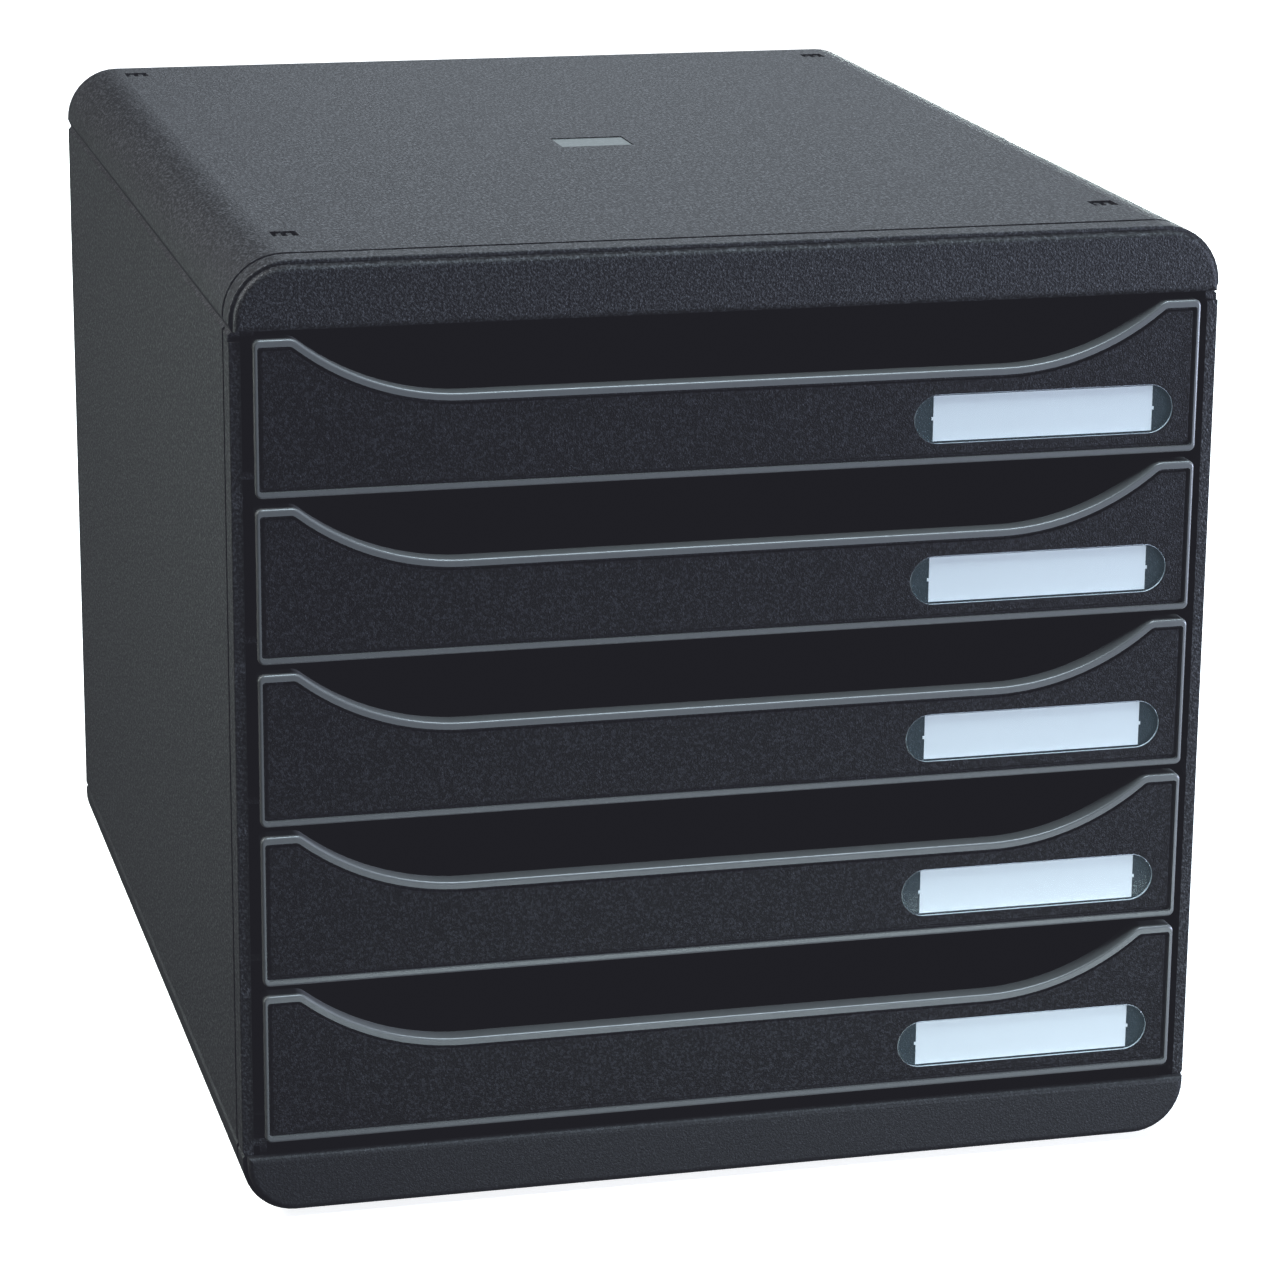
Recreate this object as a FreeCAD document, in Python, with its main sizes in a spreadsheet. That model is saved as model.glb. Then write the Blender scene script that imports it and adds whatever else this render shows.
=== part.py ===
import FreeCAD, Part
import math
import os
import re
import Sketcher

# Desktop drawer unit: a moulded casing with five trays that slide out of its front.
# X is the width, Y runs from the fronts to the back, Z is up from the table.
# The origin is under the middle of the casing, on the table.

DRAWER_COUNT = 5

# Driving sizes in millimetres: name, size, what it measures.
SIZES = [
    ("casing_width", 278, "over both side panels"),
    ("panel_depth", 344, "side panel, front edge to back edge"),
    ("apron_proud", 3, "fronts and aprons ahead of the panels' front edges"),
    ("foot_height", 1.5, "foot below the base"),
    ("base_height", 17.5, "base shell"),
    ("cover_height", 19, "top cover shell"),
    ("shell_wall", 2.5, "wall of cover and base"),
    ("panel_wall", 3.2, "wall of a side panel"),
    ("back_wall", 2.5, "wall of the back panel"),
    ("cover_round", 16.5, "round along the cover's long edges"),
    ("base_round", 15, "round along the base's long edges"),
    ("apron_inset", 1.2, "apron outline inside the shell's outline"),
    ("apron_lift", 0.5, "cover apron's lower edge above the shell's"),
    ("apron_round", 1.6, "round on the apron's front edge"),
    ("edge_round", 0.4, "small round on visible front edges"),
    ("groove_back", 8.5, "line groove behind the panels' front edge"),
    ("groove_width", 2, "line groove"),
    ("groove_depth", 0.7, "line groove"),
    ("cover_notch", 2.3, "slanted face at the cover's lower edge, height"),
    ("panel_notch", 0.9, "slanted face at a panel's upper edge, height"),
    ("top_seam_depth", 1, "seam between cover and panels"),
    ("base_notch", 1, "slanted faces at the seam over the base, height each"),
    ("base_seam_depth", 0.6, "seam between base and panels"),
    ("panel_tip_height", 2.6, "set-back end at the top of a panel's front edge"),
    ("panel_tip_back", 1.5, "how far that end is set back"),
    ("tongue_wall", 2, "tongues of the panels inside cover and base"),
    ("tongue_step", 2.6, "tongue's outer face inside the panel's inner face"),
    ("tongue_reach", 10, "tongue beyond the end of the panel"),
    ("tongue_front", 6, "tongues start behind the panel's front edge"),
    ("ledge_front", 16, "ledges start behind the panel's front edge"),
    ("rail_rear", 6, "tongues and ledges end before the back"),
    ("shelf_height", 2.2, "strip that carries a tongue"),
    ("ledge_reach", 12, "ledge out of the panel's inner face"),
    ("ledge_height", 2, "ledge thickness"),
    ("ledge_lift", 1, "ledge's underside above the lower edge of its front"),
    ("post_back", 30, "stop post behind the panel's front edge"),
    ("post_length", 5, "stop post, front to back"),
    ("post_reach", 4, "stop post out of the panel's inner face"),
    ("post_height", 12, "stop post above its ledge"),
    ("clip_inset", 21.5, "middle of a clip slot inside the casing's side"),
    ("clip_front", 37, "front clip slot behind the panels' front edge"),
    ("clip_rear", 15, "rear clip slot before the back"),
    ("clip_length", 7.2, "clip slot, across"),
    ("clip_width", 7, "clip slot, front to back"),
    ("clip_clearance", 0.3, "prong inside its slot, and below the top"),
    ("prong_width", 1.4, "prong of a clip, across"),
    ("prong_length", 5, "prong of a clip, front to back"),
    ("arm_height", 3, "arm that carries the prongs"),
    ("arm_drop", 9, "arm's upper face below the top of the cover"),
    ("badge_length", 22, "bare badge on top, across"),
    ("badge_width", 15.5, "bare badge on top, front to back"),
    ("badge_back", 168, "middle of the badge behind the panels' front edge"),
    ("badge_height", 0.6, "badge thickness"),
    ("badge_sunk", 0.3, "top of the badge below the top of the cover"),
    ("badge_gap", 0.2, "line round the badge"),
    ("foot_diameter", 11, "foot"),
    ("foot_recess", 0.5, "seat of a foot in the base"),
    ("foot_side", 22, "middle of a foot inside the casing's side"),
    ("foot_end", 18, "middle of a foot from the panels' front and back edges"),
    ("panel_fit", 0.2, "back panel inside its neighbours"),
    ("back_tongue_width", 220, "tongues of the back panel, across"),
    ("front_height", 43.2, "drawer front"),
    ("front_gap", 2.8, "between one front and the next"),
    ("base_gap", 4.2, "lowest front above the base"),
    ("cover_gap", 1.6, "top front below the top of the panels"),
    ("side_gap", 2.9, "between a front and the side panels"),
    ("rim_side", 1.1, "grey rim at the sides"),
    ("rim_bottom", 1.7, "grey rim at the bottom"),
    ("rim_top", 2, "grey rim on shoulders and scoop"),
    ("rim_depth", 5.5, "grey rim along shoulders and scoop, front to back"),
    ("rim_side_depth", 1.8, "grey rim at sides and bottom, front to back"),
    ("rim_proud", 0.6, "rim ahead of the front's face"),
    ("rim_corner", 1.8, "outer corners of the rim"),
    ("inner_corner", 0.8, "inner corners of the rim and of the face"),
    ("rim_round", 0.7, "round on the rim's outer front edge"),
    ("line_width", 0.8, "shadow line between rim and face"),
    ("line_depth", 0.7, "shadow line between rim and face"),
    ("face_round", 0.6, "round on the face's edge along that line"),
    ("shoulder_width", 9.4, "flat shoulder at each side of a front"),
    ("scoop_drop", 16.7, "depth of the finger scoop"),
    ("scoop_radius", 71.6, "curve from the scoop up to a shoulder"),
    ("shoulder_round", 4.2, "round where a shoulder turns down"),
    ("face_wall", 2.6, "wall of the drawer front"),
    ("tray_inset", 1.9, "tray side inside the side of its front"),
    ("tray_wall", 1.8, "sides and back of a tray"),
    ("tray_floor", 1.8, "floor of a tray"),
    ("tray_end_gap", 6, "tray's back before the back panel"),
    ("tray_back_height", 34, "back wall of a tray"),
    ("runner_gap", 0.3, "tray above its ledges"),
    ("ear_length", 8, "stop ear on a tray, front to back"),
    ("ear_reach", 3.9, "stop ear out of the tray's side"),
    ("ear_height", 9, "stop ear"),
    ("ear_end", 22, "stop ear before the tray's back"),
    ("window_length", 75.6, "label window, across"),
    ("window_height", 14, "label window"),
    ("window_side", 6.9, "label window inside the side of the front"),
    ("window_lift", 12.6, "middle of the window above the front's lower edge"),
    ("window_wall", 1, "clear window thickness"),
    ("window_round", 0.4, "round on the window's front edge"),
    ("window_recess", 1.5, "seat of window and label in the front"),
    ("window_gap", 0.1, "window inside its seat"),
    ("paper_length", 64, "paper label, across"),
    ("paper_height", 12.8, "paper label"),
    ("paper_wall", 0.3, "paper label thickness"),
    ("nib_length", 0.5, "nib on a paper label's short edge"),
    ("nib_height", 0.9, "nib on a paper label's short edge"),
]

document = FreeCAD.newDocument("drawer_unit")
sheet = document.addObject("Spreadsheet::Sheet", "Sizes")
for row, (name, size, meaning) in enumerate(SIZES, 1):
    sheet.set(f"A{row}", name)
    sheet.set(f"B{row}", str(size))
    sheet.set(f"C{row}", meaning)
    sheet.setAlias(f"B{row}", name)
document.recompute()

NAMES = {name for name, size, meaning in SIZES}


def formula(text):
    """Write the size names in a text as cells of the sheet."""
    return re.sub(r"[a-z_]+", lambda word: f"Sizes.{word[0]}" if word[0] in NAMES else word[0], text)


def value(text):
    """Work a formula out from the sheet."""
    return float(sheet.evalExpression(formula(text)))


# Places that several pieces share, as formulas.
HALF = "(casing_width / 2)"
INNER = f"({HALF} - panel_wall)"
FRONT = "(-(panel_depth + apron_proud) / 2)"
REAR = "((panel_depth + apron_proud) / 2)"
PANEL_FRONT = f"({FRONT} + apron_proud)"
PITCH = "(front_height + front_gap)"
PANEL_HEIGHT = f"(base_gap + {DRAWER_COUNT - 1} * {PITCH} + front_height + cover_gap)"
PANEL_BOTTOM = "(foot_height + base_height)"
COVER_BOTTOM = f"({PANEL_BOTTOM} + {PANEL_HEIGHT})"
GROOVE = f"({PANEL_FRONT} + groove_back)"
CLIP_PLACES = [f"({PANEL_FRONT} + clip_front)", f"({REAR} - clip_rear)"]
FACE = f"({FRONT} + rim_proud)"
FRONT_HALF = f"({INNER} - side_gap)"
TRAY_HALF = f"({FRONT_HALF} - tray_inset)"
TRAY_BOTTOM = "(ledge_lift + ledge_height + runner_gap)"
TRAY_TOP = "(front_height - rim_top)"
TRAY_REAR = f"({REAR} - back_wall - tray_end_gap)"
WINDOW_MIDDLE = f"({FRONT_HALF} - window_side - window_length / 2)"
RIM_INSIDE = ("rim_side", "rim_bottom", "rim_top")

pieces = []


def new_piece(name, height):
    """Start a moulding as a body that stands at a height above the table."""
    body = document.addObject("PartDesign::Body", name)
    body.Label = name
    body.setExpression("Placement.Base.z", formula(height))
    pieces.append(body)
    return body


def new_sketch(body, name, role, offset):
    """Lay a sketch parallel to one of the body's own planes, at an offset along X, Y or Z."""
    sketch = body.newObject("Sketcher::SketchObject", name)
    origin_plane = next(item for item in body.Origin.OriginFeatures if item.Role == role)
    sketch.AttachmentSupport = (origin_plane, [""])
    sketch.MapMode = "FlatFace"
    along = "-1" if role == "XZ_Plane" else "1"
    sketch.setExpression("AttachmentOffset.Base.z", formula(f"{along} * {offset}"))
    return sketch


def add_outline(sketch, corners):
    """Draw a closed outline, anticlockwise, and tie every corner to the sheet.

    A corner is (x, y); with two more formulas, the middle of a circle, the
    stretch from it to the next corner is an arc round that middle.
    """
    points = [FreeCAD.Vector(value(corner[0]), value(corner[1]), 0) for corner in corners]
    joints = []
    for index, corner in enumerate(corners):
        start = points[index]
        end = points[(index + 1) % len(points)]
        if len(corner) == 2:
            stretch = sketch.addGeometry(Part.LineSegment(start, end))
            joints.append((stretch, 1, 2))
            continue
        middle = FreeCAD.Vector(value(corner[2]), value(corner[3]), 0)
        angles = [math.atan2((point - middle).y, (point - middle).x) for point in (start, end)]
        turn = (angles[1] - angles[0]) % (2 * math.pi)
        is_round = turn < math.pi + 1e-6
        first, last = angles if is_round else angles[::-1]
        circle = Part.Circle(middle, FreeCAD.Vector(0, 0, 1), (start - middle).Length)
        stretch = sketch.addGeometry(Part.ArcOfCircle(circle, first, last))
        joints.append((stretch, 1, 2) if is_round else (stretch, 2, 1))
    for index, corner in enumerate(corners):
        stretch, start_end, far_end = joints[index]
        following, following_start, following_far = joints[(index + 1) % len(joints)]
        sketch.addConstraint(Sketcher.Constraint("Coincident", stretch, far_end, following, following_start))
        tie_point(sketch, "DistanceX", stretch, start_end, corner[0])
        tie_point(sketch, "DistanceY", stretch, start_end, corner[1])
        if len(corner) == 4:
            tie_point(sketch, "DistanceX", stretch, 3, corner[2])


def tie_point(sketch, kind, stretch, end, text):
    """Tie one coordinate of a point to a formula, measured from the sketch's origin."""
    constraint = Sketcher.Constraint(kind, -1, 1, stretch, end, value(text))
    index = sketch.addConstraint(constraint)
    sketch.setExpression(f"Constraints[{index}]", formula(text))


def add_rectangle(sketch, left, low, right, high):
    add_outline(sketch, [(left, low), (right, low), (right, high), (left, high)])


def pad(body, sketch, length, reverse=False):
    """Raise a sketch into solid; sketches across the depth are raised towards the back."""
    feature = body.newObject("PartDesign::Pad", f"{sketch.Name}_pad")
    feature.Profile = sketch
    feature.Reversed = reverse
    feature.setExpression("Length", formula(length))
    sketch.Visibility = False
    document.recompute()
    return feature


def pad_back(body, sketch, length):
    return pad(body, sketch, length, reverse=True)


def pocket(body, sketch, length, reverse=False):
    """Cut a sketch away and make sure that it took something off."""
    before = body.Shape.Volume
    feature = body.newObject("PartDesign::Pocket", f"{sketch.Name}_pocket")
    feature.Profile = sketch
    feature.Reversed = reverse
    feature.setExpression("Length", formula(length))
    sketch.Visibility = False
    document.recompute()
    if not body.Shape.Volume < before:
        raise ValueError(f"{feature.Name} cuts nothing")
    return feature


def round_edges(body, name, radius, chosen):
    """Round the edges of the body so far that a test picks out."""
    solid = body.Tip
    feature = body.newObject("PartDesign::Fillet", name)
    picked = [f"Edge{number}" for number, edge in enumerate(solid.Shape.Edges, 1) if chosen(edge)]
    feature.Base = (solid, picked)
    feature.setExpression("Radius", formula(radius))
    document.recompute()
    return feature


def repeat_up(body, feature, count, spacing):
    """Repeat a feature upwards, once for each drawer."""
    pattern = body.newObject("PartDesign::LinearPattern", f"{feature.Name}_row")
    pattern.Originals = [feature]
    upright = next(item for item in body.Origin.OriginFeatures if item.Role == "Z_Axis")
    pattern.Direction = (upright, [""])
    pattern.Mode = "Spacing"
    pattern.Occurrences = count
    pattern.setExpression("Offset", formula(spacing))
    body.Tip = pattern
    document.recompute()
    return pattern


def lies_at(edge, depth):
    """Tell whether an edge lies wholly in the plane at a depth, a formula."""
    box = edge.BoundBox
    return abs(box.YMin - value(depth)) < 0.01 and abs(box.YMax - value(depth)) < 0.01


# Outlines of the two shells, seen from the front, each from its own lower edge.


def cover_outline(inset, bottom, notch_height, notch_depth):
    """Cover section: slanted lower edges, upright sides, round shoulders, flat top."""
    half = f"({HALF} - {inset})"
    top = f"(cover_height - {inset})"
    turn = f"min(cover_round - {inset}; {top} - {bottom} - {notch_height} - 0.1)"
    return [
        (f"-({half} - {notch_depth})", bottom),
        (f"{half} - {notch_depth}", bottom),
        (half, f"{bottom} + {notch_height}"),
        (half, f"{top} - {turn}", f"{half} - {turn}", f"{top} - {turn}"),
        (f"{half} - {turn}", top),
        (f"-({half} - {turn})", top, f"-({half} - {turn})", f"{top} - {turn}"),
        (f"-{half}", f"{top} - {turn}"),
        (f"-{half}", f"{bottom} + {notch_height}"),
    ]


def base_outline(inset, top, notch_height, notch_depth):
    """Base section: flat bottom, round lower edges, upright sides, slanted upper edges."""
    half = f"({HALF} - {inset})"
    turn = f"min(base_round - {inset}; {top} - {inset} - {notch_height} - 0.1)"
    return [
        (f"-({half} - {turn})", inset),
        (f"{half} - {turn}", inset, f"{half} - {turn}", f"{inset} + {turn}"),
        (half, f"{inset} + {turn}"),
        (half, f"{top} - {notch_height}"),
        (f"{half} - {notch_depth}", top),
        (f"-({half} - {notch_depth})", top),
        (f"-{half}", f"{top} - {notch_height}"),
        (f"-{half}", f"{inset} + {turn}", f"-({half} - {turn})", f"{inset} + {turn}"),
    ]


def make_shell(name, height, shell, apron, cavity, groove_core, groove_low, groove_high):
    """Mould a cover or base: outer shell, proud apron, hollow, and the line groove round it."""
    body = new_piece(name, height)
    sketch = new_sketch(body, f"{name}_shell", "XZ_Plane", PANEL_FRONT)
    add_outline(sketch, shell)
    pad_back(body, sketch, "panel_depth")
    round_edges(body, f"{name}_shell_round", "edge_round", is_outer_front)

    sketch = new_sketch(body, f"{name}_apron", "XZ_Plane", FRONT)
    add_outline(sketch, apron)
    pad_back(body, sketch, "apron_proud + shell_wall")
    round_edges(body, f"{name}_apron_round", "apron_round", lambda edge: lies_at(edge, FRONT))

    sketch = new_sketch(body, f"{name}_cavity", "XZ_Plane", f"({FRONT} + shell_wall)")
    add_outline(sketch, cavity)
    pocket(body, sketch, "panel_depth + apron_proud - 2 * shell_wall")

    sketch = new_sketch(body, f"{name}_groove", "XZ_Plane", GROOVE)
    add_rectangle(sketch, f"-({HALF} + 1)", groove_low, f"{HALF} + 1", groove_high)
    add_outline(sketch, groove_core)
    pocket(body, sketch, "groove_width")
    return body


def is_outer_front(edge):
    """Tell whether an edge is on the front of a shell and isn't its open edge."""
    sideways = edge.BoundBox.XLength > value("casing_width") * 0.5
    return lies_at(edge, PANEL_FRONT) and not (sideways and edge.BoundBox.ZMax < value("apron_proud"))


# Top cover, with the clip slots and the seat of the badge.

cover = make_shell(
    "top_cover",
    COVER_BOTTOM,
    cover_outline("0", "0", "cover_notch", "top_seam_depth"),
    cover_outline("apron_inset", "apron_lift", "cover_notch", "0"),
    cover_outline("shell_wall", "-1", "cover_notch", "0"),
    cover_outline("groove_depth", "-1", "cover_notch", "0"),
    "-2",
    "cover_height + 1",
)
sketch = new_sketch(cover, "clip_slots", "XY_Plane", "cover_height")
for place in CLIP_PLACES:
    for side in (-1, 1):
        middle = f"{side} * ({HALF} - clip_inset)"
        add_rectangle(
            sketch,
            f"{middle} - clip_length / 2",
            f"{place} - clip_width / 2",
            f"{middle} + clip_length / 2",
            f"{place} + clip_width / 2",
        )
pocket(cover, sketch, "shell_wall + 1")
sketch = new_sketch(cover, "badge_seat", "XY_Plane", "cover_height")
add_rectangle(
    sketch,
    "-badge_length / 2 - badge_gap",
    f"{PANEL_FRONT} + badge_back - badge_width / 2 - badge_gap",
    "badge_length / 2 + badge_gap",
    f"{PANEL_FRONT} + badge_back + badge_width / 2 + badge_gap",
)
pocket(cover, sketch, "badge_sunk + badge_height")

# Bare badge, a thin plate laid in its seat on the cover.

badge = new_piece("badge_plate", f"{COVER_BOTTOM} + cover_height - badge_sunk - badge_height")
sketch = new_sketch(badge, "badge", "XY_Plane", "0")
add_rectangle(
    sketch,
    "-badge_length / 2",
    f"{PANEL_FRONT} + badge_back - badge_width / 2",
    "badge_length / 2",
    f"{PANEL_FRONT} + badge_back + badge_width / 2",
)
pad(badge, sketch, "badge_height")

# Base, with a shallow seat for each foot.

FOOT_PLACES = {
    "foot_front_left": ("-1", f"({PANEL_FRONT} + foot_end)"),
    "foot_front_right": ("1", f"({PANEL_FRONT} + foot_end)"),
    "foot_rear_left": ("-1", f"({REAR} - foot_end)"),
    "foot_rear_right": ("1", f"({REAR} - foot_end)"),
}


def add_disc(sketch, across, along, diameter):
    """Draw a circle whose middle and diameter are tied to the sheet."""
    middle = FreeCAD.Vector(value(across), value(along), 0)
    circle = sketch.addGeometry(Part.Circle(middle, FreeCAD.Vector(0, 0, 1), value(diameter) / 2))
    tie_point(sketch, "DistanceX", circle, 3, across)
    tie_point(sketch, "DistanceY", circle, 3, along)
    index = sketch.addConstraint(Sketcher.Constraint("Diameter", circle, value(diameter)))
    sketch.setExpression(f"Constraints[{index}]", formula(diameter))


base = make_shell(
    "base_tray",
    "foot_height",
    base_outline("0", "base_height", "base_notch", "base_seam_depth"),
    base_outline("apron_inset", "base_height", "base_notch", "0"),
    base_outline("shell_wall", "(base_height + 1)", "base_notch", "0"),
    base_outline("groove_depth", "(base_height + 1)", "base_notch", "0"),
    "-1",
    "base_height + 2",
)
sketch = new_sketch(base, "foot_seats", "XY_Plane", "0")
for side, along in FOOT_PLACES.values():
    add_disc(sketch, f"{side} * ({HALF} - foot_side)", along, "foot_diameter")
pocket(base, sketch, "foot_recess", reverse=True)

# Four feet, low round pads pressed into the base.

for name, (side, along) in FOOT_PLACES.items():
    foot = new_piece(name, "0")
    sketch = new_sketch(foot, f"{name}_disc", "XY_Plane", "0")
    add_disc(sketch, f"{side} * ({HALF} - foot_side)", along, "foot_diameter")
    pad(foot, sketch, "foot_height + foot_recess")

# Side panels: a wall, a tongue into cover and base, a ledge and a stop post for
# each drawer, and a clip at each end whose prongs show in the cover's slots.


def make_side_panel(name, side):
    body = new_piece(name, PANEL_BOTTOM)

    def across(distance):
        """Measure outwards from the middle of the casing, on this panel's side."""
        return f"{side} * ({distance})"

    outer = across(HALF)
    inner = across(INNER)
    sketch = new_sketch(body, f"{name}_wall", "XZ_Plane", PANEL_FRONT)
    corners = [
        (inner, "0"),
        (across(f"{HALF} - base_seam_depth"), "0"),
        (outer, "base_notch"),
        (outer, f"{PANEL_HEIGHT} - panel_notch"),
        (across(f"{HALF} - top_seam_depth"), PANEL_HEIGHT),
        (inner, PANEL_HEIGHT),
    ]
    add_outline(sketch, corners)
    pad_back(body, sketch, "panel_depth")
    front_edge = value(outer)
    round_edges(
        body,
        f"{name}_edge_round",
        "edge_round",
        lambda edge: lies_at(edge, PANEL_FRONT) and abs(edge.CenterOfMass.x - front_edge) < 0.01,
    )

    sketch = new_sketch(body, f"{name}_tip", "XZ_Plane", PANEL_FRONT)
    low = f"{PANEL_HEIGHT} - panel_tip_height"
    add_rectangle(sketch, across(f"{INNER} - 1"), low, across(f"{HALF} + 1"), f"{PANEL_HEIGHT} + 1")
    pocket(body, sketch, "panel_tip_back")

    sketch = new_sketch(body, f"{name}_groove", "XZ_Plane", GROOVE)
    bottom = across(f"{HALF} - groove_depth")
    add_rectangle(sketch, bottom, "-1", across(f"{HALF} + 1"), f"{PANEL_HEIGHT} + 1")
    pocket(body, sketch, "groove_width")

    tongue_outer = f"{INNER} - tongue_step"
    tongue_inner = f"{INNER} - tongue_step - tongue_wall"
    sketch = new_sketch(body, f"{name}_tongues", "XZ_Plane", f"({PANEL_FRONT} + tongue_front)")
    for end, inward in (("0", 1), (PANEL_HEIGHT, -1)):
        corners = [
            (inner, end),
            (inner, f"{end} + {inward} * shelf_height"),
            (across(tongue_inner), f"{end} + {inward} * shelf_height"),
            (across(tongue_inner), f"{end} - {inward} * tongue_reach"),
            (across(tongue_outer), f"{end} - {inward} * tongue_reach"),
            (across(tongue_outer), end),
        ]
        add_outline(sketch, corners)
    pad_back(body, sketch, "panel_depth - tongue_front - rail_rear")

    ledge_start = f"({PANEL_FRONT} + ledge_front)"
    ledge_length = "panel_depth - ledge_front - rail_rear"
    sketch = new_sketch(body, f"{name}_ledge", "XZ_Plane", ledge_start)
    low = "base_gap + ledge_lift"
    add_rectangle(sketch, across(f"{INNER} - ledge_reach"), low, inner, f"{low} + ledge_height")
    ledge = pad_back(body, sketch, ledge_length)
    repeat_up(body, ledge, DRAWER_COUNT, PITCH)

    sketch = new_sketch(body, f"{name}_keeper", "XZ_Plane", ledge_start)
    low = f"base_gap + {DRAWER_COUNT} * {PITCH} + ledge_lift"
    add_rectangle(
        sketch, across(f"{INNER} - ledge_reach"), low, across(tongue_outer), f"{low} + ledge_height"
    )
    pad_back(body, sketch, ledge_length)

    sketch = new_sketch(body, f"{name}_post", "XZ_Plane", f"({PANEL_FRONT} + post_back)")
    low = "base_gap + ledge_lift + ledge_height"
    add_rectangle(sketch, across(f"{INNER} - post_reach"), low, inner, f"{low} + post_height")
    post = pad_back(body, sketch, "post_length")
    repeat_up(body, post, DRAWER_COUNT, PITCH)

    clip_inner = f"{HALF} - clip_inset - clip_length / 2"
    arm_top = f"({PANEL_HEIGHT} + cover_height - arm_drop)"
    arms = new_sketch(body, f"{name}_arms", "XY_Plane", f"({arm_top} - arm_height)")
    prongs = new_sketch(body, f"{name}_prongs", "XY_Plane", arm_top)
    slit = "(clip_length - 2 * prong_width) / 3"
    for place in CLIP_PLACES:
        low = f"{place} - clip_length / 2"
        high = f"{place} + clip_length / 2"
        add_rectangle(arms, across(clip_inner), low, across(tongue_outer), high)
        low = f"{place} - clip_width / 2 + clip_clearance"
        high = f"{low} + prong_length"
        for number in (0, 1):
            near = f"{clip_inner} + {slit} + {number} * ({slit} + prong_width)"
            add_rectangle(prongs, across(near), low, across(f"{near} + prong_width"), high)
    pad(body, arms, "arm_height")
    pad(body, prongs, "arm_drop - clip_clearance")
    return body


make_side_panel("side_panel_left", -1)
make_side_panel("side_panel_right", 1)

# Back panel between the side panels, with a tongue up into the cover and one
# down into the base.

back = new_piece("back_panel", PANEL_BOTTOM)
sketch = new_sketch(back, "back_plate", "XZ_Plane", f"({REAR} - back_wall)")
half = f"({INNER} - panel_fit)"
add_rectangle(sketch, f"-{half}", "panel_fit", half, f"{PANEL_HEIGHT} - panel_fit")
pad_back(back, sketch, "back_wall")
sketch = new_sketch(back, "back_tongues", "YZ_Plane", "0")
plate_face = f"({REAR} - back_wall)"
tongue_rear = f"({REAR} - shell_wall - panel_fit)"
tongue_front = f"({tongue_rear} - tongue_wall)"
for end, inward in (("0", 1), (PANEL_HEIGHT, -1)):
    corners = [
        (plate_face, f"{end} + {inward} * panel_fit"),
        (plate_face, f"{end} + {inward} * (panel_fit + shelf_height)"),
        (tongue_front, f"{end} + {inward} * (panel_fit + shelf_height)"),
        (tongue_front, f"{end} - {inward} * tongue_reach"),
        (tongue_rear, f"{end} - {inward} * tongue_reach"),
        (tongue_rear, f"{end} + {inward} * panel_fit"),
    ]
    add_outline(sketch, corners)
feature = pad(back, sketch, "back_tongue_width")
feature.SideType = "Symmetric"
document.recompute()

# Drawers. Each front is outlined from its own lower edge.


def front_outline(side, bottom, top):
    """Outline of a front, drawn in from its outer edge by the given widths.

    Each shoulder ends in a small round and a long hollow curve down to the flat
    of the scoop; both curves keep their middles when the outline is drawn in.
    """
    half = f"({FRONT_HALF} - {side})"
    high = f"(front_height - {top})"
    turn = f"max(rim_corner - {side}; inner_corner)"
    scoop = f"(front_height - scoop_drop - {top})"
    curve_height = "(front_height - scoop_drop + scoop_radius)"
    reach = "(scoop_radius + shoulder_round)"
    fall = f"({reach} - scoop_drop)"
    shoulder = f"({FRONT_HALF} - shoulder_width)"
    flat = f"({shoulder} - sqrt({reach} * {reach} - {fall} * {fall}))"
    share = f"((scoop_radius + {top}) / {reach})"
    meet_x = f"({flat} + ({shoulder} - {flat}) * {share})"
    meet_z = f"({curve_height} - {fall} * {share})"
    round_z = "(front_height - shoulder_round)"
    return [
        (f"-{half} + {turn}", bottom),
        (f"{half} - {turn}", bottom, f"{half} - {turn}", f"{bottom} + {turn}"),
        (half, f"{bottom} + {turn}"),
        (half, f"{high} - {turn}", f"{half} - {turn}", f"{high} - {turn}"),
        (f"{half} - {turn}", high),
        (shoulder, high, shoulder, round_z),
        (meet_x, meet_z, flat, curve_height),
        (flat, scoop),
        (f"-{flat}", scoop, f"-{flat}", curve_height),
        (f"-{meet_x}", meet_z, f"-{shoulder}", round_z),
        (f"-{shoulder}", high),
        (f"-{half} + {turn}", high, f"-{half} + {turn}", f"{high} - {turn}"),
        (f"-{half}", f"{high} - {turn}"),
        (f"-{half}", f"{bottom} + {turn}", f"-{half} + {turn}", f"{bottom} + {turn}"),
    ]


def pill_outline(gap):
    """Outline of the label window, a rectangle with half-round ends, let out by a gap."""
    low = f"window_lift - window_height / 2 - {gap}"
    high = f"window_lift + window_height / 2 + {gap}"
    left = f"({WINDOW_MIDDLE} - window_length / 2 + window_height / 2)"
    right = f"({WINDOW_MIDDLE} + window_length / 2 - window_height / 2)"
    return [
        (left, low),
        (right, low, right, "window_lift"),
        (right, high),
        (left, high, left, "window_lift"),
    ]


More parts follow.
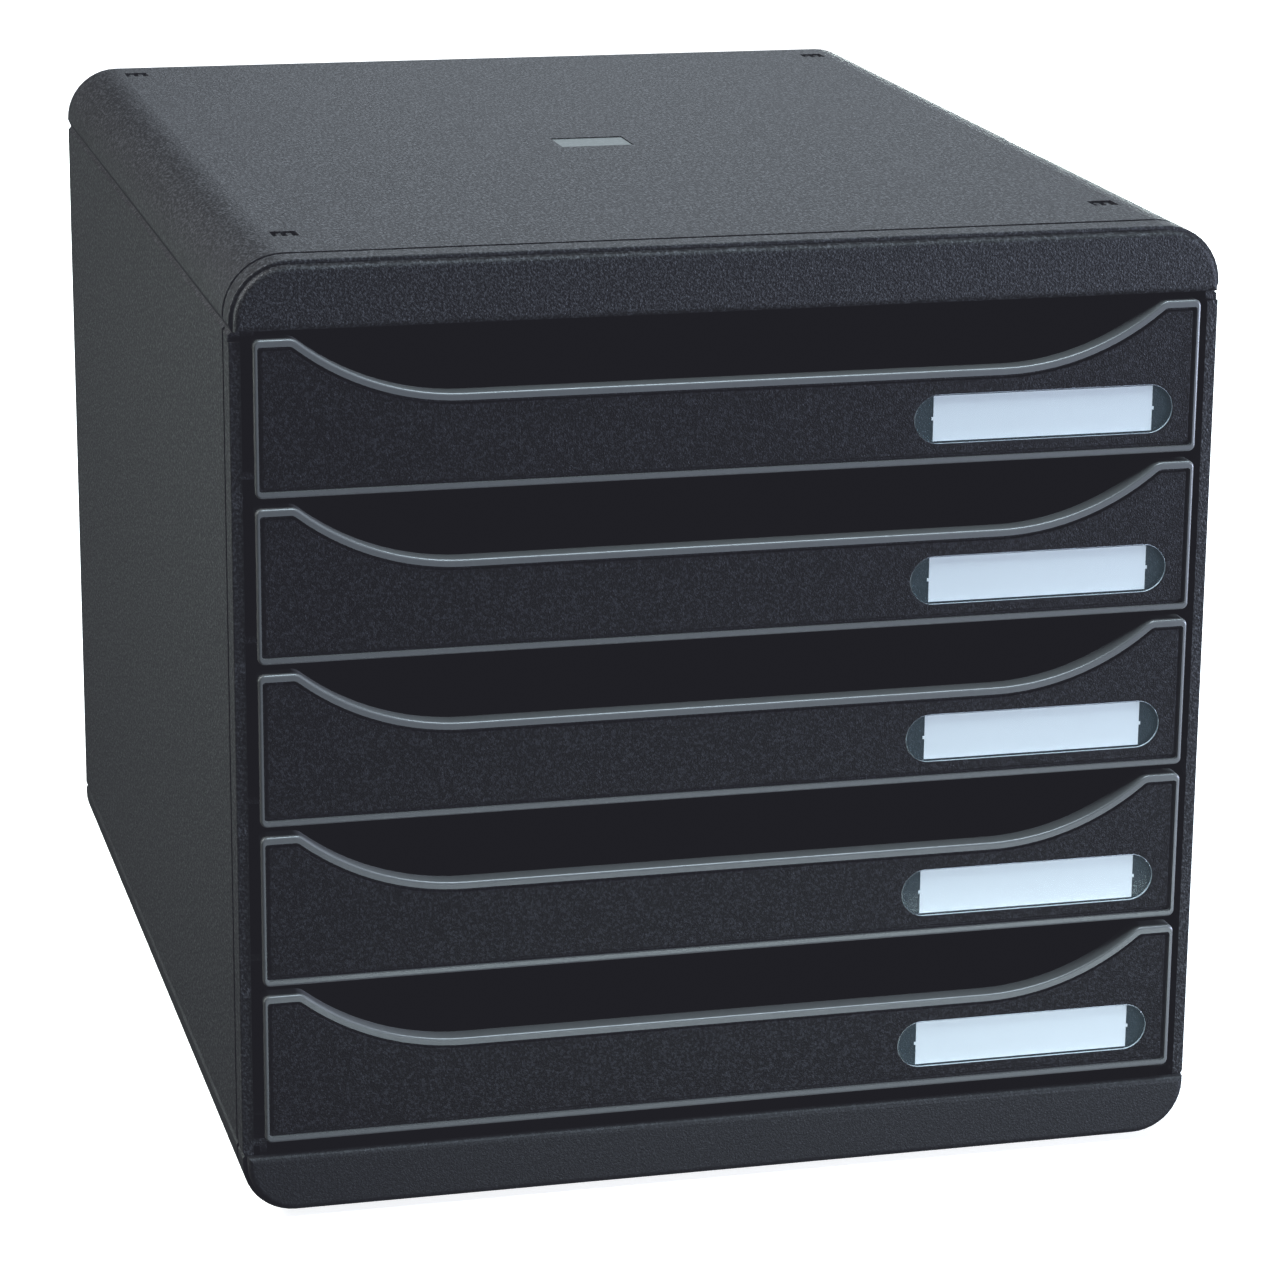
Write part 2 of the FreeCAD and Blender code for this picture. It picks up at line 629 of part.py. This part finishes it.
def make_tray(name, height):
    """Mould the tray: front wall, floor, sides, back, stop ears and the label's seat."""
    body = new_piece(name, height)
    sketch = new_sketch(body, f"{name}_face", "XZ_Plane", FACE)
    add_outline(sketch, front_outline(*RIM_INSIDE))
    pad_back(body, sketch, "face_wall")

    sketch = new_sketch(body, f"{name}_line", "XZ_Plane", FACE)
    add_outline(sketch, front_outline(*RIM_INSIDE))
    add_outline(sketch, front_outline(*(f"({width} + line_width)" for width in RIM_INSIDE)))
    pocket(body, sketch, "line_depth")
    round_edges(body, f"{name}_face_round", "face_round", lambda edge: lies_at(edge, FACE))

    inside = f"({TRAY_HALF} - tray_wall)"
    floor_top = f"({TRAY_BOTTOM} + tray_floor)"
    channel = [
        (f"-{TRAY_HALF}", TRAY_BOTTOM),
        (TRAY_HALF, TRAY_BOTTOM),
        (TRAY_HALF, TRAY_TOP),
        (inside, TRAY_TOP),
        (inside, floor_top),
        (f"-{inside}", floor_top),
        (f"-{inside}", TRAY_TOP),
        (f"-{TRAY_HALF}", TRAY_TOP),
    ]
    start = f"({FACE} + face_wall)"
    sketch = new_sketch(body, f"{name}_channel", "XZ_Plane", start)
    add_outline(sketch, channel)
    pad_back(body, sketch, f"{TRAY_REAR} - {start}")

    sketch = new_sketch(body, f"{name}_back", "XZ_Plane", f"({TRAY_REAR} - tray_wall)")
    high = f"{TRAY_BOTTOM} + tray_back_height"
    add_rectangle(sketch, f"-{TRAY_HALF}", TRAY_BOTTOM, TRAY_HALF, high)
    pad_back(body, sketch, "tray_wall")

    sketch = new_sketch(body, f"{name}_ears", "XZ_Plane", f"({TRAY_REAR} - ear_end - ear_length)")
    tip = f"({TRAY_HALF} + ear_reach)"
    high = f"{TRAY_BOTTOM} + ear_height"
    add_rectangle(sketch, TRAY_HALF, TRAY_BOTTOM, tip, high)
    add_rectangle(sketch, f"-{tip}", TRAY_BOTTOM, f"-{TRAY_HALF}", high)
    pad_back(body, sketch, "ear_length")

    sketch = new_sketch(body, f"{name}_seat", "XZ_Plane", FACE)
    add_outline(sketch, pill_outline("window_gap"))
    pocket(body, sketch, "window_recess")


def make_rim(name, height):
    """Mould the grey rim, a closed band round the front wall, deeper along shoulders and scoop."""
    body = new_piece(name, height)
    sketch = new_sketch(body, f"{name}_outside", "XZ_Plane", FRONT)
    add_outline(sketch, front_outline("0", "0", "0"))
    pad_back(body, sketch, "rim_depth")
    round_edges(body, f"{name}_outer_round", "rim_round", lambda edge: lies_at(edge, FRONT))
    sketch = new_sketch(body, f"{name}_inside", "XZ_Plane", FRONT)
    add_outline(sketch, front_outline(*RIM_INSIDE))
    pocket(body, sketch, "rim_depth")

    outside = f"({FRONT_HALF} + 1)"
    inside = f"({FRONT_HALF} - rim_side - 1)"
    low = "(rim_bottom + 1)"
    high = "(front_height - rim_top - inner_corner)"
    corners = [
        (f"-{outside}", "-1"),
        (outside, "-1"),
        (outside, high),
        (inside, high),
        (inside, low),
        (f"-{inside}", low),
        (f"-{inside}", high),
        (f"-{outside}", high),
    ]
    sketch = new_sketch(body, f"{name}_relief", "XZ_Plane", f"({FRONT} + rim_side_depth)")
    add_outline(sketch, corners)
    pocket(body, sketch, "rim_depth - rim_side_depth")


def make_window(name, height):
    """Mould the clear window that holds the label, with a softened front edge."""
    body = new_piece(name, height)
    start = f"({FACE} + window_recess - paper_wall - window_gap - window_wall)"
    sketch = new_sketch(body, f"{name}_pill", "XZ_Plane", start)
    add_outline(sketch, pill_outline("0"))
    pad_back(body, sketch, "window_wall")
    round_edges(body, f"{name}_edge", "window_round", lambda edge: lies_at(edge, start))


def make_paper(name, height):
    """Cut the paper label, with a nib in the middle of each short edge."""
    body = new_piece(name, height)
    sketch = new_sketch(body, f"{name}_sheet", "XZ_Plane", f"({FACE} + window_recess - paper_wall)")
    left = f"({WINDOW_MIDDLE} - paper_length / 2)"
    right = f"({WINDOW_MIDDLE} + paper_length / 2)"
    low = "(window_lift - paper_height / 2)"
    high = "(window_lift + paper_height / 2)"
    nib_low = "(window_lift - nib_height / 2)"
    nib_high = "(window_lift + nib_height / 2)"
    corners = [
        (left, low),
        (right, low),
        (right, nib_low),
        (f"{right} + nib_length", nib_low),
        (f"{right} + nib_length", nib_high),
        (right, nib_high),
        (right, high),
        (left, high),
        (left, nib_high),
        (f"{left} - nib_length", nib_high),
        (f"{left} - nib_length", nib_low),
        (left, nib_low),
    ]
    add_outline(sketch, corners)
    pad_back(body, sketch, "paper_wall")


for number in range(1, DRAWER_COUNT + 1):
    height = f"({PANEL_BOTTOM} + base_gap + {DRAWER_COUNT - number} * {PITCH})"
    make_tray(f"drawer_{number}_tray", height)
    make_rim(f"drawer_{number}_rim", height)
    make_window(f"drawer_{number}_label_window", height)
    make_paper(f"drawer_{number}_paper_label", height)

# Check every object and every piece, then write one file for each piece.

document.recompute()
for item in document.Objects:
    if "Invalid" in item.State or "Error" in item.State:
        raise ValueError(f"{item.Name} failed: {item.State}")
for piece in pieces:
    if piece.Shape.isNull() or not piece.Shape.isValid() or len(piece.Shape.Solids) != 1:
        raise ValueError(f"{piece.Label} is not one valid solid")

os.makedirs("parts", exist_ok=True)
for piece in pieces:
    piece.Shape.exportStep(f"parts/{piece.Label}.step")
travel = value(f"{TRAY_REAR} - ear_end - ear_length - {PANEL_FRONT} - post_back - post_length")
print(f"{len(pieces)} pieces written; a drawer meets its stops after {travel:.2f} mm")
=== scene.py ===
import math

import bpy
from mathutils import Euler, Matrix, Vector


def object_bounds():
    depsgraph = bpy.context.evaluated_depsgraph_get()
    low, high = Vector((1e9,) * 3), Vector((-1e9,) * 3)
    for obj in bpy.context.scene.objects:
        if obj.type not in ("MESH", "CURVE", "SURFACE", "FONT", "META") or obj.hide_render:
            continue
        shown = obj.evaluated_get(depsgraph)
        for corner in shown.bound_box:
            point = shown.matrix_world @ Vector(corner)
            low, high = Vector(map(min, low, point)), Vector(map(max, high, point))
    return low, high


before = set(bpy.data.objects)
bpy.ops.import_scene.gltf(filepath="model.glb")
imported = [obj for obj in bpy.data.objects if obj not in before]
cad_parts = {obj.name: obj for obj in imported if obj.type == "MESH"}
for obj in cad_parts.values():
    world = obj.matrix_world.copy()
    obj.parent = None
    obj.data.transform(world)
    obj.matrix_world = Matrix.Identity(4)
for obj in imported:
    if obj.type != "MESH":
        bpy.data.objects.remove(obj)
cad_low, cad_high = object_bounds()

# Base.
# The lower moulding of the casing, black polystyrene out of an etched mould. Its skin is covered
# with shallow pits about half a millimetre wide, like fine leather.

DRAWN_OUT = 2  # how many times longer than wide the grain is, from front to back
NOISE_DETAIL = 2
FLECK_WIDTH = 1.6  # in pits
PATTERN_LOW = 0.47
PATTERN_HIGH = 0.67


def new_material(name):
    """Start a material and hand back its node tree and its shader with it."""
    material = bpy.data.materials.new(name)
    material.use_nodes = True
    tree = material.node_tree
    return material, tree, tree.nodes["Principled BSDF"]


def add_noise(tree, place, size):
    """Soft uneven pattern, its spots about size wide in metres and drawn out front to back."""
    spots = tree.nodes.new("ShaderNodeMapping")
    spots.inputs["Scale"].default_value = (1 / size, 1 / size / DRAWN_OUT, 1 / size)
    tree.links.new(place.outputs["Object"], spots.inputs["Vector"])
    noise = tree.nodes.new("ShaderNodeTexNoise")
    noise.inputs["Scale"].default_value = 1
    noise.inputs["Detail"].default_value = NOISE_DETAIL
    tree.links.new(spots.outputs["Vector"], noise.inputs["Vector"])
    return noise.outputs["Fac"]


def add_range(tree, pattern, low, high):
    """Spread the middle of a pattern over the numbers from low to high."""
    spread = tree.nodes.new("ShaderNodeMapRange")
    spread.inputs["From Min"].default_value = PATTERN_LOW
    spread.inputs["From Max"].default_value = PATTERN_HIGH
    spread.inputs["To Min"].default_value = low
    spread.inputs["To Max"].default_value = high
    tree.links.new(pattern, spread.inputs["Value"])
    return spread.outputs["Result"]


def etched_plastic(name, dark, light, dark_roughness, light_roughness, gloss, grain, depth):
    """Plastic from an etched mould: pits as height, and dark and light flecks a little wider."""
    material, tree, shader = new_material(name)
    place = tree.nodes.new("ShaderNodeTexCoord")
    pits = add_noise(tree, place, grain)
    flecks = add_noise(tree, place, FLECK_WIDTH * grain)

    bump = tree.nodes.new("ShaderNodeBump")
    bump.inputs["Distance"].default_value = depth
    tree.links.new(pits, bump.inputs["Height"])
    tree.links.new(bump.outputs["Normal"], shader.inputs["Normal"])

    colour = tree.nodes.new("ShaderNodeMix")
    colour.data_type = "RGBA"
    colour.inputs["A"].default_value = (*dark, 1)
    colour.inputs["B"].default_value = (*light, 1)
    tree.links.new(add_range(tree, flecks, 0, 1), colour.inputs["Factor"])
    tree.links.new(colour.outputs["Result"], shader.inputs["Base Color"])

    sheen = add_range(tree, flecks, dark_roughness, light_roughness)
    tree.links.new(sheen, shader.inputs["Roughness"])
    shader.inputs["Specular IOR Level"].default_value = gloss
    return material


def finish_node(name, material):
    """Give a piece its finish."""
    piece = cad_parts[name]
    piece.data.materials.clear()
    piece.data.materials.append(material)


base_plastic = etched_plastic(
    "base_plastic",
    dark=(0.005, 0.005, 0.005),
    light=(0.016, 0.016, 0.017),
    dark_roughness=0.50,
    light_roughness=0.44,
    gloss=0.20,
    grain=0.00046,
    depth=0.00016,
)
finish_node("base_tray", base_plastic)

# Feet.
# Four low round pads of matte black rubber, pressed into their seats under the base.

foot_rubber = etched_plastic(
    "foot_rubber",
    dark=(0.008, 0.008, 0.008),
    light=(0.016, 0.016, 0.016),
    dark_roughness=0.82,
    light_roughness=0.78,
    gloss=0.3,
    grain=0.0006,
    depth=0.00005,
)
for name in ("foot_front_left", "foot_front_right", "foot_rear_left", "foot_rear_right"):
    finish_node(name, foot_rubber)

# Side panels and back panel.
# Flat mouldings of the same plastic, held in the base and the cover by their tongues. Their grain
# is coarser and deeper than the base's.

panel_plastic = etched_plastic(
    "panel_plastic",
    dark=(0.001, 0.001, 0.001),
    light=(0.034, 0.034, 0.036),
    dark_roughness=0.54,
    light_roughness=0.41,
    gloss=0.18,
    grain=0.00056,
    depth=0.00034,
)
for name in ("side_panel_left", "side_panel_right", "back_panel"):
    finish_node(name, panel_plastic)

# Top cover.
# The base's counterpart, of the same plastic with pits as wide but deeper. It closes the casing
# from above, and the prongs of the side panels' clips show in its four slots.

casing_plastic = etched_plastic(
    "casing_plastic",
    dark=(0.001, 0.001, 0.001),
    light=(0.036, 0.036, 0.038),
    dark_roughness=0.50,
    light_roughness=0.44,
    gloss=0.18,
    grain=0.00046,
    depth=0.00024,
)
finish_node("top_cover", casing_plastic)

# Badge.
# A thin bare plate of pale grey plastic, laid in its seat on the cover. It is nearly smooth.

badge_plastic = etched_plastic(
    "badge_plastic",
    dark=(0.085, 0.092, 0.088),
    light=(0.100, 0.107, 0.103),
    dark_roughness=0.52,
    light_roughness=0.48,
    gloss=0.5,
    grain=0.0006,
    depth=0.00003,
)
finish_node("badge_plate", badge_plastic)

# Trays.
# Five black trays, each moulded in one piece with its front. Their plastic is darker than the
# casing's and throws back less light, and its pits are as wide as the cover's.

DRAWERS = range(1, 6)
tray_plastic = etched_plastic(
    "tray_plastic",
    dark=(0.000, 0.000, 0.000),
    light=(0.016, 0.016, 0.018),
    dark_roughness=0.45,
    light_roughness=0.39,
    gloss=0.11,
    grain=0.00046,
    depth=0.00022,
)
for number in DRAWERS:
    finish_node(f"drawer_{number}_tray", tray_plastic)

# Rims.
# A grey band moulded round each front, of satin plastic so smooth that no grain shows.

rim_plastic = etched_plastic(
    "rim_plastic",
    dark=(0.096, 0.096, 0.092),
    light=(0.102, 0.102, 0.098),
    dark_roughness=0.34,
    light_roughness=0.32,
    gloss=0.6,
    grain=0.0012,
    depth=0.00001,
)
for number in DRAWERS:
    finish_node(f"drawer_{number}_rim", rim_plastic)

# Paper labels.
# A strip of uncoated white paper in each front. A nib on each short edge holds it in its seat
# behind the window.

paper, _, paper_shader = new_material("label_paper")
paper_shader.inputs["Base Color"].default_value = (0.83, 0.85, 0.83, 1)
paper_shader.inputs["Roughness"].default_value = 0.9
for number in DRAWERS:
    finish_node(f"drawer_{number}_paper_label", paper)

# Label windows.
# A clear plastic window with half-round ends over each label. Its polished face hardly shows and
# darkens what is behind it a little. Where its surface turns away from the front, on its rounded
# edge and ends, it is painted pale and opaque: a painted highlight for the light that edge
# catches.

FACE_ON = 0.97  # the outward direction's share along the depth, on the face
EDGE_ON = 0.60  # the same on the cut edge
FACE_COVER = 0.12  # how much of what is behind it the face hides
# on the edge the painted highlight hides all that is behind it
EDGE_COVER = 1.0

clear, clear_tree, clear_shader = new_material("clear_window")
clear_shader.inputs["Roughness"].default_value = 0.10
direction = clear_tree.nodes.new("ShaderNodeTexCoord")
parts = clear_tree.nodes.new("ShaderNodeSeparateXYZ")
clear_tree.links.new(direction.outputs["Normal"], parts.inputs["Vector"])
depthwise = clear_tree.nodes.new("ShaderNodeMath")
depthwise.operation = "ABSOLUTE"
clear_tree.links.new(parts.outputs["Y"], depthwise.inputs[0])
facing = clear_tree.nodes.new("ShaderNodeMapRange")
facing.inputs["From Min"].default_value = FACE_ON
facing.inputs["From Max"].default_value = EDGE_ON
clear_tree.links.new(depthwise.outputs["Value"], facing.inputs["Value"])
painted_edge_highlight = facing.outputs["Result"]

# Painted highlight: colour B, pale and opaque, goes where the surface turns away from the front.
face_tint_and_edge_highlight = clear_tree.nodes.new("ShaderNodeMix")
face_tint_and_edge_highlight.data_type = "RGBA"
face_tint_and_edge_highlight.inputs["A"].default_value = (0.10, 0.15, 0.16, 1)
face_tint_and_edge_highlight.inputs["B"].default_value = (0.92, 0.97, 1.00, 1)
clear_tree.links.new(painted_edge_highlight, face_tint_and_edge_highlight.inputs["Factor"])
clear_tree.links.new(face_tint_and_edge_highlight.outputs["Result"], clear_shader.inputs["Base Color"])
cover = clear_tree.nodes.new("ShaderNodeMapRange")
cover.inputs["To Min"].default_value = FACE_COVER
cover.inputs["To Max"].default_value = EDGE_COVER
clear_tree.links.new(painted_edge_highlight, cover.inputs["Value"])
clear_tree.links.new(cover.outputs["Result"], clear_shader.inputs["Alpha"])
for number in DRAWERS:
    finish_node(f"drawer_{number}_label_window", clear)

# Floor and air.
# A plain white floor that glows a little, least under the unit, so that its edge isn't seen. The
# air round it is white to the camera and gives no light.

FLOOR_SIZE = 12
NEAR = 0.4  # metres from the unit's middle
FAR = 1.6
NEAR_GLOW = 0.8
FAR_GLOW = 1.0

bpy.ops.mesh.primitive_plane_add(size=FLOOR_SIZE)
floor = bpy.context.object
floor.name = "studio_floor"
floor.visible_diffuse = False
floor.visible_glossy = False
floor_paint, floor_tree, floor_shader = new_material("floor_paint")
floor_shader.inputs["Base Color"].default_value = (0.80, 0.80, 0.80, 1)
floor_shader.inputs["Roughness"].default_value = 0.9
floor_shader.inputs["Emission Color"].default_value = (1, 1, 1, 1)
floor_place = floor_tree.nodes.new("ShaderNodeTexCoord")
distance = floor_tree.nodes.new("ShaderNodeVectorMath")
distance.operation = "LENGTH"
floor_tree.links.new(floor_place.outputs["Object"], distance.inputs[0])
glow = floor_tree.nodes.new("ShaderNodeMapRange")
glow.inputs["From Min"].default_value = NEAR
glow.inputs["From Max"].default_value = FAR
glow.inputs["To Min"].default_value = NEAR_GLOW
glow.inputs["To Max"].default_value = FAR_GLOW
floor_tree.links.new(distance.outputs["Value"], glow.inputs["Value"])
floor_tree.links.new(glow.outputs["Result"], floor_shader.inputs["Emission Strength"])
floor.data.materials.append(floor_paint)

world = bpy.data.worlds.new("studio_air")
world.use_nodes = True
air = world.node_tree.nodes["Background"]
air.inputs["Color"].default_value = (1, 1, 1, 1)
seen = world.node_tree.nodes.new("ShaderNodeLightPath")
world.node_tree.links.new(seen.outputs["Is Camera Ray"], air.inputs["Strength"])
bpy.context.scene.world = world

# Lights.
# Soft lamps of a cool white: two behind, whose light grazes the top and the sides, two on the
# left, one above the fronts, one low on the right, and a faint strip on the floor before them.

AIM_HEIGHT = 0.13
middle = (cad_low + cad_high) / 2
low_middle = Vector((middle.x, middle.y, AIM_HEIGHT))
fronts = Vector((middle.x, cad_low.y, AIM_HEIGHT))
low_fronts = Vector((0.12, cad_low.y, 0.03))


def add_light(name, place, aim, width, height, colour, power):
    """Put up a flat lamp that the camera doesn't see, in metres and watts, turned to its aim."""
    lamp = bpy.data.lights.new(name, "AREA")
    lamp.shape = "RECTANGLE"
    lamp.size = width
    lamp.size_y = height
    lamp.color = colour
    lamp.energy = power
    holder = bpy.data.objects.new(name, lamp)
    holder.location = place
    holder.rotation_euler = (Vector(aim) - Vector(place)).to_track_quat("-Z", "Y").to_euler()
    holder.visible_camera = False
    bpy.context.scene.collection.objects.link(holder)


add_light("backdrop", (0.75, 1.7, 0.75), middle, 1.5, 1.2, (0.81, 0.90, 1.0), 8)
add_light("front_top", (0.3, -0.5, 1.50), fronts, 1.2, 0.3, (0.72, 0.88, 1.0), 36)
add_light("front_right", (1.35, -0.80, 0.12), fronts, 1.0, 0.28, (0.68, 0.77, 1.0), 50)
add_light("front_floor", (0.12, -0.33, 0.012), low_fronts, 0.45, 0.02, (0.81, 0.98, 1.0), 0.23)
add_light("upper_left", (-1.1, 0.4, 1.20), middle, 1.0, 1.0, (0.92, 0.96, 1.0), 39)
add_light("left", (-1.6, 0.7, 0.13), low_middle, 1.4, 0.26, (0.86, 1.0, 0.96), 15)
add_light("rear", (0.45, 1.6, 0.13), low_middle, 0.9, 0.26, (0.86, 1.0, 0.96), 16)

# Camera.
# A long lens a good metre away, to the left of the unit and above it. The picture's black is
# lifted a little, most in the blue.

SENSOR = 36
LENS = 121.4
CAMERA_PLACE = (-0.3100, -1.2798, 0.4891)
HEADING = math.radians(14.37)
TILT = math.radians(16.01)
LEAN = math.radians(0.53)
BLACK_LIFT = (0.0144, 0.0144, 0.0185)

camera = bpy.data.cameras.new("camera")
camera.sensor_width = SENSOR
camera.lens = LENS
view = bpy.data.objects.new("camera", camera)
view.location = CAMERA_PLACE
turn = Euler((math.radians(90) - TILT, 0, -HEADING)).to_matrix() @ Euler((0, 0, LEAN)).to_matrix()
view.rotation_euler = turn.to_euler()
bpy.context.scene.collection.objects.link(view)
bpy.context.scene.camera = view

picture = bpy.context.scene.view_settings
picture.view_transform = "Standard"
picture.use_curve_mapping = True
picture.curve_mapping.black_level = [-lift for lift in BLACK_LIFT]
picture.curve_mapping.update()
